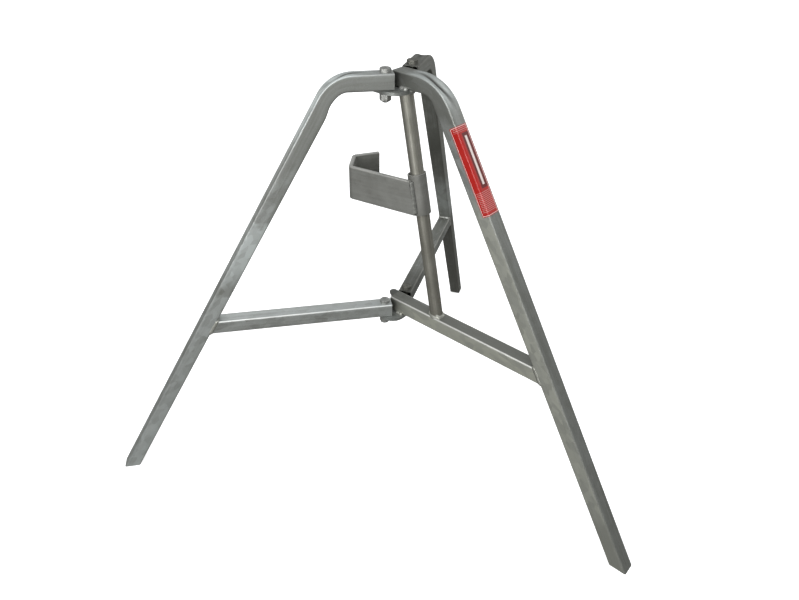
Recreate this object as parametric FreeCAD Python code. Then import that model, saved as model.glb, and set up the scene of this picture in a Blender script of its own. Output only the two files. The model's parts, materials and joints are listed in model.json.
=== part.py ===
"""Prop tripod: three bent square-tube legs, two of them folding on bolts, with a wedge clamp.

Sizes are in millimetres. The pieces are built about the seat axis, which stands upright where the
three legs meet, with the main leg along +X and the floor at z = 0. At the end everything is moved
so that the origin is on the floor at the centre of the part's bounding box.
"""

import FreeCAD
import Part

import math
import os
from collections import namedtuple

V = FreeCAD.Vector
UP = V(0, 0, 1)

# Square tube of the legs and braces, a size larger in the welded leg
welded_tube = 32.0
folding_tube = 30.0
wall = 2.5
tube_corner = 3.0

# Legs: a level arm, one bend, and a straight run to the floor. The heights are those of the
# folding legs' centre lines
arm_height = 876.0
welded_arm_length = 93.4
welded_slope_angle = 58.8
welded_bend_outer = 98.0
folding_arm_length = 106.0
folding_slope_angle = 59.5
folding_bend_outer = 110.0
bend_inner = 25.0
bend_dish = 3.0
dish_round = 12.0
brace_height = 380.0

# Seat: the round mouth of both hinge plates
seat_dia = 76.6
mouth_lip = 13.0
tube_setback = 23.0

# Hinge plates and pivots
plate_thick = 6.0
plate_tail = 38.0
plate_edge = 13.0
plate_corner = 30.0
lip_share = 0.55
mouth_share = 0.35
pivot_setback = 25.2
pivot_overhang = 14.0
swing_clearance = 0.8
left_leg_angle = -128.7
back_leg_angle = 113.5

# M12 pivot bolt and flange nut
bolt_dia = 12.0
hex_flats = 19.0
head_high = 7.5
nut_high = 12.0
bolt_tail = 3.0
flange_dia = 24.0
flange_thick = 2.5
running_fit = 0.08
hole_fit = 0.1
thread_fit = 0.05

# Wedge bar
bar_dia = 26.9
bar_wall = 3.2
bar_tilt = 12.1
bar_top = 80.2

# Clamp: sleeve on the bar and strap bent to a hook
sleeve_dia = 36.5
sleeve_wall = 2.9
sleeve_below = 37.0
sleeve_above = 45.0
strap_high = 70.0
strap_thick = 8.0
strap_turn = 65.0
strap_bend = 5.0
strap_end = 26.0
strap_bite = 2.0
clamp_height = 658.0
hook_fit = 1.5
sleeve_fit = 0.3

# What follows from the sizes above
Leg = namedtuple("Leg", "tube arm slope bend")
welded_leg = Leg(welded_tube, welded_arm_length, math.radians(welded_slope_angle), welded_bend_outer)
folding_leg = Leg(folding_tube, folding_arm_length, math.radians(folding_slope_angle), folding_bend_outer)
half = folding_tube / 2
seat_radius = seat_dia / 2
arm_end = seat_radius + tube_setback
pivot_x = seat_radius + pivot_setback
pivot_y = welded_tube / 2 + math.hypot(pivot_overhang, half) + swing_clearance
plate_half = pivot_y + plate_edge
lip = plate_half - math.sqrt(seat_radius ** 2 - mouth_lip ** 2)
arm_under = arm_height - half
brace_under = brace_height - half
bar_foot = brace_under + welded_tube
plate_under = arm_under - plate_thick
lean = math.tan(math.radians(bar_tilt))
bar_axis = V(-math.sin(math.radians(bar_tilt)), 0, math.cos(math.radians(bar_tilt)))
bar_square = V(-math.cos(math.radians(bar_tilt)), 0, -math.sin(math.radians(bar_tilt)))
sleeve_bore = sleeve_dia - 2 * sleeve_wall
sleeve_pull = (sleeve_bore - bar_dia) / 2 - sleeve_fit
overcut = 30.0
tiny = 1e-6


def bar_at(height):
    """Point of the wedge bar's axis at a height above the floor."""
    return V(bar_top + (plate_under - height) * lean, 0, height)


bar_middle = bar_at(clamp_height)
sleeve_middle = bar_middle + bar_square * sleeve_pull


def arm_level(leg):
    """Height of an arm's centre line. All arms rest at one level, and the braces do too."""
    return arm_under + leg.tube / 2


def leg_x(leg, z, side):
    """Distance of a wall of the straight leg from the arm's end, at a height."""
    return leg.arm + (arm_level(leg) - z) / math.tan(leg.slope) + side / math.sin(leg.slope)


def bend_side(leg, side, radius):
    """Bend of one wall of a leg, at an offset from the tube's centre line.

    Returns the first, middle and last points of the bend's arc and the arc's centre.
    """
    z = arm_level(leg) + side
    turn = leg.slope / 2
    corner = V(leg_x(leg, z, side), 0, z)
    run = radius * math.tan(turn)
    first = corner - V(run, 0, 0)
    last = corner + V(math.cos(leg.slope), 0, -math.sin(leg.slope)) * run
    centre = first - UP * radius
    middle = centre + V(math.sin(turn), 0, math.cos(turn)) * radius
    return first, middle, last, centre


def leg_prism(leg, inset, past, sunk):
    """Solid of the bent leg, smaller all round by inset and longer at both ends by past.

    The crown of its outer bend is lower by sunk.
    """
    reach = leg.tube / 2 - inset
    top, top_mid, top_end, centre = bend_side(leg, reach, leg.bend - inset)
    low, low_mid, low_end, _ = bend_side(leg, -reach, bend_inner + inset)
    crown = top_mid + (centre - top_mid).normalize() * sunk
    outer_foot = V(leg_x(leg, -past, reach), 0, -past)
    inner_foot = V(leg_x(leg, -past, -reach), 0, -past)
    upper = V(-past, 0, arm_level(leg) + reach)
    under = V(-past, 0, arm_level(leg) - reach)
    wire = Part.Wire([
        Part.makeLine(upper, top),
        Part.Arc(top, crown, top_end).toShape(),
        Part.makeLine(top_end, outer_foot),
        Part.makeLine(outer_foot, inner_foot),
        Part.makeLine(inner_foot, low_end),
        Part.Arc(low_end, low_mid, low).toShape(),
        Part.makeLine(low, under),
        Part.makeLine(under, upper),
    ])
    face = Part.Face(wire)
    face.translate(V(0, -reach, 0))
    return face.extrude(V(0, 2 * reach, 0))


def round_long_edges(solid, radius):
    """Rounds the edges along a leg blank, and leaves those across it and round its two cut ends."""
    long_edges = []
    for edge in solid.Edges:
        a, b = [vertex.Point for vertex in edge.Vertexes]
        across = abs(a.y - b.y) > tiny
        at_end = max(a.x, b.x) < tiny or max(a.z, b.z) < tiny
        if not across and not at_end:
            long_edges.append(edge)
    return solid.makeFillet(radius, long_edges)


def dish(leg):
    """The hollow that bending leaves in the outer wall, as a bead swept along a flatter arc."""
    turn = leg.slope / 2
    sag = leg.bend * (1 - math.cos(turn))
    back = (2 * leg.bend * bend_dish - bend_dish ** 2) / (2 * (sag - bend_dish))
    _, _, _, centre = bend_side(leg, leg.tube / 2, leg.bend)
    along = V(math.sin(turn), 0, math.cos(turn))
    pivot = centre - along * back
    middle = pivot + along * (leg.bend - bend_dish + back + dish_round)
    square = V(math.cos(turn), 0, -math.sin(turn))
    spread = math.degrees(math.atan2(leg.bend * math.sin(turn), leg.bend * math.cos(turn) + back))
    bead = Part.Face(Part.Wire(Part.makeCircle(dish_round, middle, square)))
    bead.rotate(pivot, V(0, 1, 0), -spread)
    return bead.revolve(pivot, V(0, 1, 0), 2 * spread)


def stands(edge, high):
    """True for an upright edge of a height."""
    low, top = [vertex.Point.z for vertex in (edge.Vertexes[0], edge.Vertexes[-1])]
    return abs(abs(top - low) - high) < tiny


def upright(x, y, z0, z1, dia):
    """Upright round bar between two heights."""
    return Part.makeCylinder(dia / 2, z1 - z0, V(x, y, z0))


def leg_tube(leg):
    """Bent leg with its end at x = 0 and its plane at y = 0, open at both ends."""
    outside = round_long_edges(leg_prism(leg, 0, 0, 0), tube_corner).cut(dish(leg))
    return outside.cut(leg_prism(leg, wall, overcut, bend_dish))


def brace_blank(leg, inset, past):
    """Solid of the brace between the arm's end line and the leg's inner wall."""
    reach = leg.tube / 2 - inset
    top = brace_under + leg.tube - inset
    low = brace_under + inset
    run = past / math.tan(leg.slope)
    points = [
        V(-past, -reach, low),
        V(-past, -reach, top),
        V(leg_x(leg, top, -leg.tube / 2) + run, -reach, top),
        V(leg_x(leg, low, -leg.tube / 2) + run, -reach, low),
    ]
    face = Part.Face(Part.makePolygon(points + points[:1]))
    return face.extrude(V(0, 2 * reach, 0))


def brace_tube(leg):
    """Brace, open at x = 0 and mitred to the leg at its other end."""
    outside = brace_blank(leg, 0, 0)
    long_edges = [e for e in outside.Edges if abs(e.tangentAt(e.FirstParameter).x) > 0.99]
    outside = outside.makeFillet(tube_corner, long_edges)
    return outside.cut(brace_blank(leg, wall, overcut))


def swung(piece, swing, side):
    """Drills a leg or brace for its pivot bolt and swings it out about that bolt."""
    bore = upright(pivot_overhang, 0, 0, 2 * arm_height, bolt_dia + 2 * running_fit)
    piece = piece.cut(bore)
    piece.translate(V(pivot_x - pivot_overhang, side * pivot_y, 0))
    piece.rotate(V(pivot_x, side * pivot_y, 0), UP, swing)
    return piece


def hinge_plate(top):
    """Flat plate with the seat's round mouth and two bolt holes, under a tube."""
    long = pivot_x + plate_tail - mouth_lip
    blank = Part.makeBox(long, 2 * plate_half, plate_thick, V(mouth_lip, -plate_half, top - plate_thick))
    tail = [e for e in blank.Edges if stands(e, plate_thick) and e.CenterOfMass.x > pivot_x]
    blank = blank.makeFillet(plate_corner, tail)
    blank = blank.cut(upright(0, 0, top - 2 * plate_thick, top + plate_thick, seat_dia))
    for share, outer in ((lip_share, True), (mouth_share, False)):
        ends = [e for e in blank.Edges if stands(e, plate_thick) and e.CenterOfMass.x < mouth_lip + tiny]
        ends = [e for e in ends if (abs(e.CenterOfMass.y) > plate_half - tiny) == outer]
        blank = blank.makeFillet(share * lip, ends)
    for side in (-1, 1):
        hole = upright(pivot_x, side * pivot_y, 0, 2 * arm_height, bolt_dia + 2 * hole_fit)
        blank = blank.cut(hole)
    return blank


def hexagon(z0, high):
    """Hexagonal prism of the bolt's and the nut's width across flats."""
    corner = hex_flats / 2 / math.cos(math.radians(30))
    turns = [math.radians(60 * i) for i in range(7)]
    points = [V(corner * math.cos(a), corner * math.sin(a), z0) for a in turns]
    return Part.Face(Part.makePolygon(points)).extrude(UP * high)


def pivot(level):
    """Bolt and flange nut of one pivot, on the axis x = y = 0, for a tube at a level."""
    seat = level + half
    under = level - half - plate_thick
    nut_low = under - flange_thick - nut_high
    tip = nut_low - bolt_tail
    bolt = upright(0, 0, tip, seat, bolt_dia).fuse(hexagon(seat, head_high)).removeSplitter()
    nut = hexagon(nut_low, nut_high).fuse(upright(0, 0, under - flange_thick, under, flange_dia))
    nut = nut.cut(upright(0, 0, tip, level, bolt_dia + 2 * thread_fit))
    return {"bolt": bolt, "nut": nut}


def leaning(middle, dia, low, high):
    """Round rod that leans as the wedge bar does, between two distances along it from a point."""
    return Part.makeCylinder(dia / 2, high - low, middle + bar_axis * low, bar_axis)


def wedge_bar():
    """Leaning tube, cut level at the plate's underside and at the welded brace's top."""
    rod = leaning(bar_middle, bar_dia, -arm_height, arm_height)
    rod = rod.cut(leaning(bar_middle, bar_dia - 2 * bar_wall, -arm_height, arm_height))
    high = plate_under - bar_foot
    return rod.common(Part.makeBox(arm_height, 2 * welded_tube, high, V(0, -welded_tube, bar_foot)))


def clamp_sleeve():
    """Tube that slides on the wedge bar, pulled over to the seat's side as far as its play allows."""
    sleeve = leaning(sleeve_middle, sleeve_dia, -sleeve_below, sleeve_above)
    return sleeve.cut(leaning(sleeve_middle, sleeve_bore, -overcut - sleeve_below, sleeve_above + overcut))


def flat_point(normal, radius, along):
    """Plan point of a strap flat that faces an angle, at a distance from the seat axis."""
    square = V(math.cos(normal), math.sin(normal), 0)
    level = V(-math.sin(normal), math.cos(normal), 0)
    return square * radius + level * along


def clamp_strap():
    """Flat bar in three flats about the seat, its long flat welded along the sleeve."""
    inner = seat_radius + hook_fit
    outer = inner + strap_thick
    tilt = math.asin((inner - sleeve_dia / 2 + strap_bite) / sleeve_middle.x)
    first = tilt - math.pi / 2
    second = first - math.radians(strap_turn)
    third = second - math.radians(strap_turn)
    reach = math.tan(math.radians(strap_turn / 2))
    long_end = bar_middle.x + arm_end
    points = [
        flat_point(first, inner, long_end),
        flat_point(first, inner, -inner * reach),
        flat_point(second, inner, -inner * reach),
        flat_point(third, inner, -strap_end),
        flat_point(third, outer, -strap_end),
        flat_point(second, outer, -outer * reach),
        flat_point(first, outer, -outer * reach),
        flat_point(first, outer, long_end),
    ]
    face = Part.Face(Part.makePolygon(points + points[:1]))
    face.translate(V(0, 0, clamp_height - strap_high / 2))
    flat = face.extrude(UP * strap_high)
    for radius, corners in ((strap_bend, points[1:3]), (strap_bend + strap_thick, points[5:7])):
        for corner in corners:
            edges = [e for e in flat.Edges if stands(e, strap_high) and over(e, corner)]
            flat = flat.makeFillet(radius, edges)
    low_corner = V(0, -arm_height, -2 * strap_high)
    beyond = Part.makeBox(2 * arm_height, 2 * arm_height, 4 * strap_high, low_corner)
    beyond.rotate(V(0, 0, 0), V(0, 1, 0), -bar_tilt)
    beyond.translate(bar_middle)
    cope_dia = sleeve_dia + 2 * sleeve_fit
    cope = leaning(sleeve_middle, cope_dia, -overcut - sleeve_below, sleeve_above + overcut)
    return flat.cut(beyond).cut(cope)


def over(edge, corner):
    """True for an edge that is over a plan point."""
    at = edge.CenterOfMass
    return math.hypot(at.x - corner.x, at.y - corner.y) < 1e-3


def place(piece, x, y):
    """A copy of a piece moved across the floor."""
    copy = piece.copy()
    copy.translate(V(x, y, 0))
    return copy


pieces = {}

# Main leg, its brace, the two hinge plates and the wedge bar are welded into one frame
pieces["main_leg_tube"] = place(leg_tube(welded_leg), arm_end, 0)
pieces["main_brace"] = place(brace_tube(welded_leg), arm_end, 0)
pieces["upper_hinge_plate"] = hinge_plate(arm_under)
pieces["lower_hinge_plate"] = hinge_plate(brace_under)
pieces["wedge_bar"] = wedge_bar()

# The two side legs swing about upright bolts through the ends of their tubes
for name, swing, side in (("left", left_leg_angle, -1), ("back", back_leg_angle, 1)):
    pieces[name + "_leg_tube"] = swung(leg_tube(folding_leg), swing, side)
    pieces[name + "_brace"] = swung(brace_tube(folding_leg), swing, side)
    for place_name, level in (("upper", arm_height), ("lower", brace_height)):
        for part_name, piece in pivot(level).items():
            pieces[f"{name}_{place_name}_{part_name}"] = place(piece, pivot_x, side * pivot_y)

# Clamp: the sleeve slides on the wedge bar and the strap hooks round the seat
pieces["clamp_sleeve"] = clamp_sleeve()
pieces["clamp_strap"] = clamp_strap()

# The origin goes to the floor at the centre of the bounding box
box = FreeCAD.BoundBox()
for piece in pieces.values():
    box.add(piece.optimalBoundingBox(True, False))
shift = V(-box.Center.x, -box.Center.y, 0)

os.makedirs("parts", exist_ok=True)
for name, piece in pieces.items():
    piece.translate(shift)
    piece.exportStep(f"parts/{name}.step")

print("seat axis", round(shift.x, 4), round(shift.y, 4))
print("pivots x", round(shift.x + pivot_x, 4))
print("pivots y", round(shift.y - pivot_y, 4), round(shift.y + pivot_y, 4))
print("sleeve middle", [round(v, 4) for v in sleeve_middle + shift])
print("bar axis", [round(v, 6) for v in bar_axis])
print("height", round(box.ZMax, 3), "low", round(box.ZMin, 4))
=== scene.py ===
import json
import math

import bmesh
import bpy
import numpy as np
from mathutils import Matrix


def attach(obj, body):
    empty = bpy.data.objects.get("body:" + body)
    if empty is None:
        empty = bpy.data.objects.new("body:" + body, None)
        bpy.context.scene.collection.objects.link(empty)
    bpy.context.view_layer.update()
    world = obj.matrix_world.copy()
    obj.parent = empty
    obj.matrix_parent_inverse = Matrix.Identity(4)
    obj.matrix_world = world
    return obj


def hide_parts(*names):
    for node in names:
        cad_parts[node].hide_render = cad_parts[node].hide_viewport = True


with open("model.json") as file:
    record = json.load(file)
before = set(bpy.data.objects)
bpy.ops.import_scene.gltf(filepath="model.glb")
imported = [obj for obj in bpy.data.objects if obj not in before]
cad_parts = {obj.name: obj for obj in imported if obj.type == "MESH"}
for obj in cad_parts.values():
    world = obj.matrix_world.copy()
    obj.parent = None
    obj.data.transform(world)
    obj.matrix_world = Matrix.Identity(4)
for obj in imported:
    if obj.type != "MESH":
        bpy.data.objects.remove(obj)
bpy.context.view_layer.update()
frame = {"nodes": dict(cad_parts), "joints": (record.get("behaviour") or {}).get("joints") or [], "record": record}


# Legs and braces: square steel tube with 2.5 mm walls, 32 mm on the fixed leg and 30 mm on the two
# that fold, bent cold over a former. The bend leaves a hollow between two ridges outside and, on the
# folding legs, a dent inside. Hot-dip galvanised: mottled and streaked, with painted highlight and
# painted shade on the corners, the top walls and lengths of the tubes, and painted shade inside the
# tubes and in the bend's hollow.
TUBE_WALL = 0.0025
TUBE_CORNER = 0.003
INSIDE_CORNER = 0.0008
ARM_UNDER = 0.861
BRACE_UNDER = 0.365
ARM_END = 0.0613
PIVOT_OVERHANG = 0.014
BEND_INNER = 0.025
BEND_HOLLOW = 0.0052
HOLLOW_EDGE = 0.0035
ARM_SQUEEZE = 0.003
INNER_DENT = 0.0034
DENT_BEFORE = 0.012
DENT_PAST = 0.040
ARM_ROWS = 8
BEND_ROWS = 41
RUN_ROWS = 40
BRACE_ROWS = 17
BENT = slice(ARM_ROWS, ARM_ROWS + BEND_ROWS)
TUBE_LOOP = (25, 7, 6)

mounts = {mount["name"]: np.array(mount["pos_m"]) for mount in frame["record"]["mounts"]}
swings = [joint for joint in frame["joints"] if joint["name"].endswith("_swing")]
pivots = {joint["child"]: np.array(joint["pos_m"]) for joint in swings}
seat = mounts["prop_seat"][:2]
LEGS = {
    "main": {"body": "frame", "half": 0.016, "turn": 0.0, "arm": 0.0934, "slope": 58.8, "bend": 0.098},
    "left": {"body": "left_leg", "half": 0.015, "turn": -128.7, "arm": 0.106, "slope": 59.5, "bend": 0.075},
    "back": {"body": "back_leg", "half": 0.015, "turn": 113.5, "arm": 0.106, "slope": 59.5, "bend": 0.075},
}
for name, leg in LEGS.items():
    turn = math.radians(leg["turn"])
    leg["slope"] = math.radians(leg["slope"])
    leg["way"] = np.array([math.cos(turn), math.sin(turn)])
    if name == "main":
        leg["end"] = seat + [ARM_END, 0]
    else:
        leg["end"] = pivots[leg["body"]][:2] - leg["way"] * PIVOT_OVERHANG


def as_points(x, y, z):
    """Points from three parts, each spread over one grid."""
    return np.stack(np.broadcast_arrays(x, y, z), -1)


def length_along(line):
    """Length from the first point of a line to each of its points: running sum of the steps."""
    steps = np.linalg.norm(np.diff(line, axis=0), axis=1)
    return np.concatenate([[0], np.cumsum(steps)])


def stand(points, leg):
    """Carries points (run, side, height) of a leg's own plane to where that leg stands:
    end of the arm + run along the leg's way + side square to it, with the height kept."""
    run, side, height = np.moveaxis(points, -1, 0)
    way = leg["way"]
    x = leg["end"][0] + run * way[0] - side * way[1]
    y = leg["end"][1] + run * way[1] + side * way[0]
    return as_points(x, y, height)


def wall_run(leg, height, offset):
    """Run of a wall of the straight leg at a height: arm + drop / tan(slope) + offset / sin(slope)."""
    slope = leg["slope"]
    drop = ARM_UNDER + leg["half"] - height
    return leg["arm"] + drop / math.tan(slope) + offset / math.sin(slope)


def bent_wall(leg, offset, radius, bend_turns):
    """One wall of a bent leg in its plane, as (run, height) points: a level line, an arc of the given
    radius at the bend's angles, and a straight run to the floor with its rows closer by the bend."""
    slope = leg["slope"]
    height = ARM_UNDER + leg["half"] + offset
    start = wall_run(leg, height, offset) - radius * math.tan(slope / 2)
    arm_run = start * np.linspace(0, 1, ARM_ROWS + 1)[:-1]
    arm = np.stack([arm_run, np.full_like(arm_run, height)], -1)
    arc_run = start + radius * np.sin(bend_turns)
    arc = np.stack([arc_run, height - radius + radius * np.cos(bend_turns)], -1)
    foot = np.array([wall_run(leg, 0.0, offset), 0.0])
    share = np.linspace(0, 1, RUN_ROWS + 1)[1:, None] ** 2
    return np.concatenate([arm, arc, arc[-1] + (foot - arc[-1]) * share])


def around_tube(flat_points, side_points, corner_points):
    """Loop round a square section as four columns: where a point sits on the side-to-side and the
    low-to-high flat (-1 to 1), and the direction of its corner rounding (unit circle)."""
    flat = np.linspace(-1, 1, flat_points)
    side = np.linspace(1, -1, side_points)
    turn = np.linspace(0, math.pi / 2, corner_points)[1:-1]
    one, zero = np.ones_like, np.zeros_like
    top = np.stack([flat, one(flat), zero(flat), one(flat)], -1)
    near = np.stack([one(side), side, one(side), zero(side)], -1)
    corner = np.stack([one(turn), one(turn), np.sin(turn), np.cos(turn)], -1)
    low_corner = np.stack([one(turn), -one(turn), np.cos(turn), -np.sin(turn)], -1)
    half = np.concatenate([top, corner, near, low_corner])
    return np.concatenate([half, -half])


def grid_faces(rows, columns, closed_rows):
    """Four-sided faces between neighbours of a grid whose columns close on themselves."""
    r = np.arange(rows if closed_rows else rows - 1)[:, None]
    c = np.arange(columns)[None, :]
    across, down = (c + 1) % columns, (r + 1) % rows
    corners = [r * columns + c, r * columns + across, down * columns + across, down * columns + c]
    return np.stack(corners, -1).reshape(-1, 4)


def make_piece(name, points, faces, finish, sharp=38.0, places=None):
    """Mesh object from whole arrays: points merged where they meet, faces turned outwards, and
    edges sharper than an angle left crisp. Places, if given, are kept as the point attribute
    along_tube, which tells a finish where it is on the unbent piece."""
    mesh = bpy.data.meshes.new(name)
    mesh.from_pydata(points.reshape(-1, 3).tolist(), [], faces.tolist())
    if places is not None:
        attribute = mesh.attributes.new("along_tube", "FLOAT_VECTOR", "POINT")
        attribute.data.foreach_set("vector", places.astype(np.float32).ravel())
    shell = bmesh.new()
    shell.from_mesh(mesh)
    bmesh.ops.remove_doubles(shell, verts=shell.verts, dist=1e-7)
    bmesh.ops.recalc_face_normals(shell, faces=shell.faces)
    shell.to_mesh(mesh)
    shell.free()
    mesh.shade_smooth()
    mesh.set_sharp_from_angle(angle=math.radians(sharp))
    mesh.materials.append(finish)
    made = bpy.data.objects.new(name, mesh)
    bpy.context.scene.collection.objects.link(made)
    return made


def tube_shell(upper, lower, hollow, half):
    """Open square tube between an upper and a lower wall line, as a closed loop of outside and inside.

    At each station the section runs from the lower to the upper point; a point of the loop is
    middle + up * (flat * (high / 2 - deep) + deep * rounding), less the hollow on the upper wall,
    where deep is the corner's radius squeezed as the section is. The hollow is a squared cosine
    between its two ridges.
    Returns the points (run, side, height), the same points on the unbent tube, and the faces."""
    middle = (upper + lower) / 2
    high = np.linalg.norm(upper - lower, axis=1)[:, None]
    up = (upper - lower) / high
    along = length_along(middle)[:, None]
    flat_side, flat_up, round_side, round_up = around_tube(*TUBE_LOOP).T
    on_top = round_up > 0.9
    skins, places = [], []
    for inset, corner in ((0.0, TUBE_CORNER), (TUBE_WALL, INSIDE_CORNER)):
        side = flat_side * (half - inset - corner) + round_side * corner
        unbent = flat_up * (half - inset - corner) + round_up * corner
        deep = corner * high / (2 * half)
        lift = flat_up * (high / 2 - inset - deep) + round_up * deep
        from_middle = np.clip(side / (half - HOLLOW_EDGE), -1, 1)
        lift = lift - hollow[:, None] * np.cos(math.pi / 2 * from_middle) ** 2 * on_top
        points = middle[:, None, :] + up[:, None, :] * lift[:, :, None]
        skins.append(as_points(points[..., 0], side, points[..., 1]))
        places.append(as_points(along, side, unbent))
    points = np.concatenate([skins[0], skins[1][::-1]])
    places = np.concatenate([places[0], places[1][::-1]])
    return points, places, grid_faces(len(points), points.shape[1], True)


class Shade:
    """A socket in a finish's node tree. Arithmetic on sockets adds Math nodes."""

    def __init__(self, tree, socket=None):
        self.tree, self.socket = tree, socket

    def node(self, kind, settings, sockets, out=0):
        """Adds a node: its settings first, then its sockets as values or links. Gives one output."""
        made = self.tree.nodes.new(kind)
        for key, value in settings.items():
            setattr(made, key, value)
        for key, value in sockets.items():
            if isinstance(value, Shade):
                self.tree.links.new(value.socket, made.inputs[key])
            else:
                made.inputs[key].default_value = value
        return Shade(self.tree, made.outputs[out])

    def maths(self, operation, a, b):
        return self.node("ShaderNodeMath", {"operation": operation}, {0: a, 1: b})

    def __add__(self, other):
        return self.maths("ADD", self, other)

    def __sub__(self, other):
        return self.maths("SUBTRACT", self, other)

    def __mul__(self, other):
        return self.maths("MULTIPLY", self, other)

    def __truediv__(self, other):
        return self.maths("DIVIDE", self, other)

    def __radd__(self, other):
        return self.maths("ADD", other, self)

    def __rsub__(self, other):
        return self.maths("SUBTRACT", other, self)

    def __rmul__(self, other):
        return self.maths("MULTIPLY", other, self)

    def __abs__(self):
        return self.maths("ABSOLUTE", self, 0.0)

    def least(self, other):
        return self.maths("MINIMUM", self, other)

    def most(self, other):
        return self.maths("MAXIMUM", self, other)

    def fraction(self):
        return self.maths("FRACT", self, 0.0)

    def step(self, low, high):
        """Smooth step from 0 at low to 1 at high."""
        return self.node("ShaderNodeMapRange", {"interpolation_type": "SMOOTHSTEP"},
                         {"Value": self, "From Min": low, "From Max": high})

    def between(self, low, high, soft):
        """1 between two values and 0 outside, with soft ends."""
        return self.step(low - soft, low + soft) * (1 - self.step(high - soft, high + soft))

    def blend(self, a, b):
        """Colour a where this is 0 and colour b where it is 1."""
        return self.node("ShaderNodeMix", {"data_type": "RGBA"}, {0: self, 6: a, 7: b}, out=2)

    def unbent(self):
        """Where a point is on the unbent piece: the attribute along_tube."""
        return self.node("ShaderNodeAttribute", {"attribute_name": "along_tube"}, {}, out=1)

    def in_frame(self):
        """Where a point is in the object's coordinates."""
        return self.node("ShaderNodeTexCoord", {}, {}, out=3)

    def moved(self, shift):
        """This vector with a shift added."""
        return self.node("ShaderNodeVectorMath", {"operation": "ADD"}, {0: self, 1: shift})

    def stretched(self, scale):
        """This vector with its parts multiplied, which squeezes a pattern."""
        return self.node("ShaderNodeVectorMath", {"operation": "MULTIPLY"}, {0: self, 1: scale})

    def parts(self):
        """The three parts of this vector."""
        first = self.node("ShaderNodeSeparateXYZ", {}, {0: self})
        return [Shade(self.tree, socket) for socket in first.socket.node.outputs]

    def cloud(self, scale, detail=4.0, rough=0.55):
        """Noise of this place, about 0 to 1."""
        sockets = {"Vector": self, "Scale": scale, "Detail": detail, "Roughness": rough}
        return self.node("ShaderNodeTexNoise", {}, sockets)

    def streaks(self, squeeze, detail=4.0):
        """Noise drawn out along an axis by squeezing the others."""
        return self.stretched(squeeze).cloud(1.0, detail)

    def crystals(self, scale):
        """One random brightness for each crystal of the zinc, 0 to 1."""
        colour = self.node("ShaderNodeTexVoronoi", {}, {"Vector": self, "Scale": scale}, out=1)
        return colour.parts()[0]

    def feed(self, shader, socket):
        """Links this to a socket of a finish's metal shader."""
        self.tree.links.new(self.socket, shader.inputs[socket])

    def raise_surface(self, shader, strength, distance):
        """Uses this as the height of a finish's fine bumps."""
        sockets = {"Strength": strength, "Distance": distance, "Height": self}
        self.node("ShaderNodeBump", {}, sockets).feed(shader, "Normal")


def new_finish(name, metal=0.0):
    """An empty material with its metal shader: the material, the shader node and a Shade to build on."""
    material = bpy.data.materials.new(name)
    material.use_nodes = True
    shader = material.node_tree.nodes["Principled BSDF"]
    shader.inputs["Metallic"].default_value = metal
    return material, shader, Shade(material.node_tree)


def mixed(*patterns):
    """Sum of patterns (pattern, weight), each first centred on 0: (pattern - 0.5) * weight."""
    centred = [(pattern - 0.5) * weight for pattern, weight in patterns]
    return sum(centred[1:], centred[0])


ZINC_PALE = (0.47, 0.49, 0.48, 1)
DARK_ZINC_AND_SHADE = (0.22, 0.225, 0.205, 1)
PAINTED_LIGHT_AND_PALE_PATCH = (0.60, 0.64, 0.63, 1)
WARM_TINT_AND_LIGHT = (0.57, 0.58, 0.505, 1)
TUBE_INSIDE_SHADE = (0.018, 0.018, 0.016, 1)
PAINTED_SHADE = (0.085, 0.085, 0.075, 1)
DULL_SPAN = (-0.05, 1.05)
TUBE_METAL = 0.78
TUBE_CRYSTALS = 95.0
CRYSTAL_SHAPE = (0.6, 1, 1)
TUBE_CLOUDS = (11.0, 6.0, 0.62)
TUBE_STREAKS = (5.0, 140.0, 140.0)
TUBE_GRAIN = (420.0, 3.0)
PATTERN_STEP = 3.1
PATTERN_SKEW = 0.37
BRACE_STEP = 1.4
CORNER_DEPTHS = (0.0036, 0.0010)
TOP_SHADE_DEPTHS = (0.003, 0.0)
TOP_DEPTHS = (0.004, 0.001)
INSIDE_DEPTHS = (0.0022, 0.0014)
PATCH_CLOUDS = (38.0, 3.0)
PATCH_WANDER = 0.05
PATCH_SOFT = 0.03
GROOVE_SOFT = 0.02
GROOVE_HALF = (0.001, 0.0065)


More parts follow.
